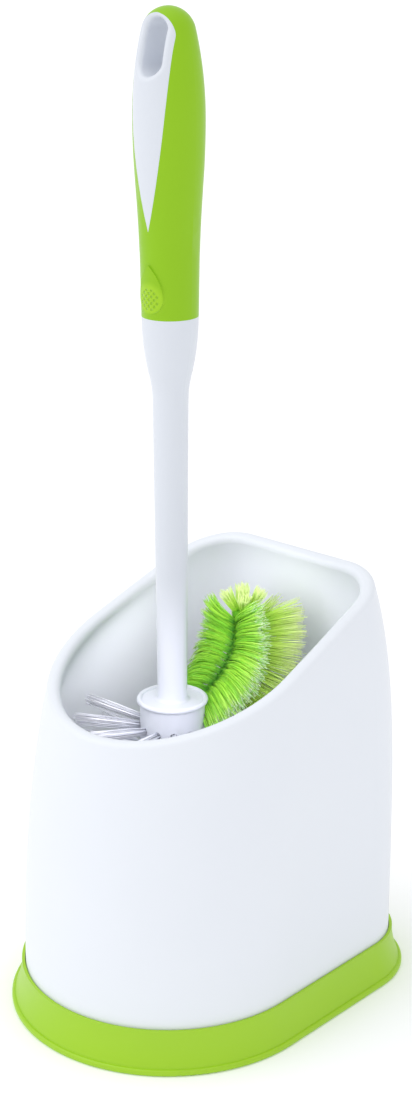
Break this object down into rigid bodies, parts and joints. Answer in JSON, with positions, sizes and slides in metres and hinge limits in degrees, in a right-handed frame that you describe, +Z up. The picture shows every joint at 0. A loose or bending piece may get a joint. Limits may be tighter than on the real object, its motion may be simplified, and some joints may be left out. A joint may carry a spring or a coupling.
{
  "type": "toilet brush and holder",
  "caption": "Standing toilet brush with an under-rim arm, in a round-fronted holder with a sloping mouth and a lift-off drip tray.",
  "frame": {"origin": "centre of the foot's footprint, on the floor", "axes": "+Z up, -Y towards the rounded low front of the holder, +X to the right seen from the front"},
  "size_m": [0.146, 0.18, 0.44],
  "materials": {
    "white_plastic": "satin",
    "lime_plastic": "satin",
    "lime_soft_grip": "matte",
    "white_bristle": "matte",
    "lime_bristle": "matte",
    "staple_wire": "bright"
  },
  "bodies": {
    "tray": {"base_tray": "lime_plastic"},
    "holder": {"holder_shell": "white_plastic"},
    "brush": {"handle_core": "white_plastic", "grip_sleeve": "lime_soft_grip", "head_block": "white_plastic", "rim_arm": "lime_plastic", "white_tufts_end": "white_bristle", "white_tuft_staples": "staple_wire", "white_tufts_row_1": "white_bristle", "white_tufts_row_2": "white_bristle", "white_tufts_row_3": "white_bristle", "white_tufts_row_4": "white_bristle", "white_tufts_row_5": "white_bristle", "white_tufts_row_6": "white_bristle", "white_tufts_row_7": "white_bristle", "white_tufts_row_8": "white_bristle", "white_tufts_row_9": "white_bristle", "lime_tufts_right_short": "lime_bristle", "lime_tufts_left_short": "lime_bristle", "lime_tufts_right_long": "lime_bristle", "lime_tufts_left_long": "lime_bristle", "lime_tufts_back": "lime_bristle", "lime_tufts_tip": "lime_bristle", "lime_tuft_staples": "staple_wire"}
  },
  "joints": [
    {"name": "holder_lift_off", "type": "slide", "parent": "tray", "child": "holder", "axis": [0, 0, 1], "range_m": [0, 0.06]},
    {"name": "brush_lift_out", "type": "slide", "parent": "holder", "child": "brush", "axis": [0, 0, 1], "range_m": [0, 0.24]}
  ]
}
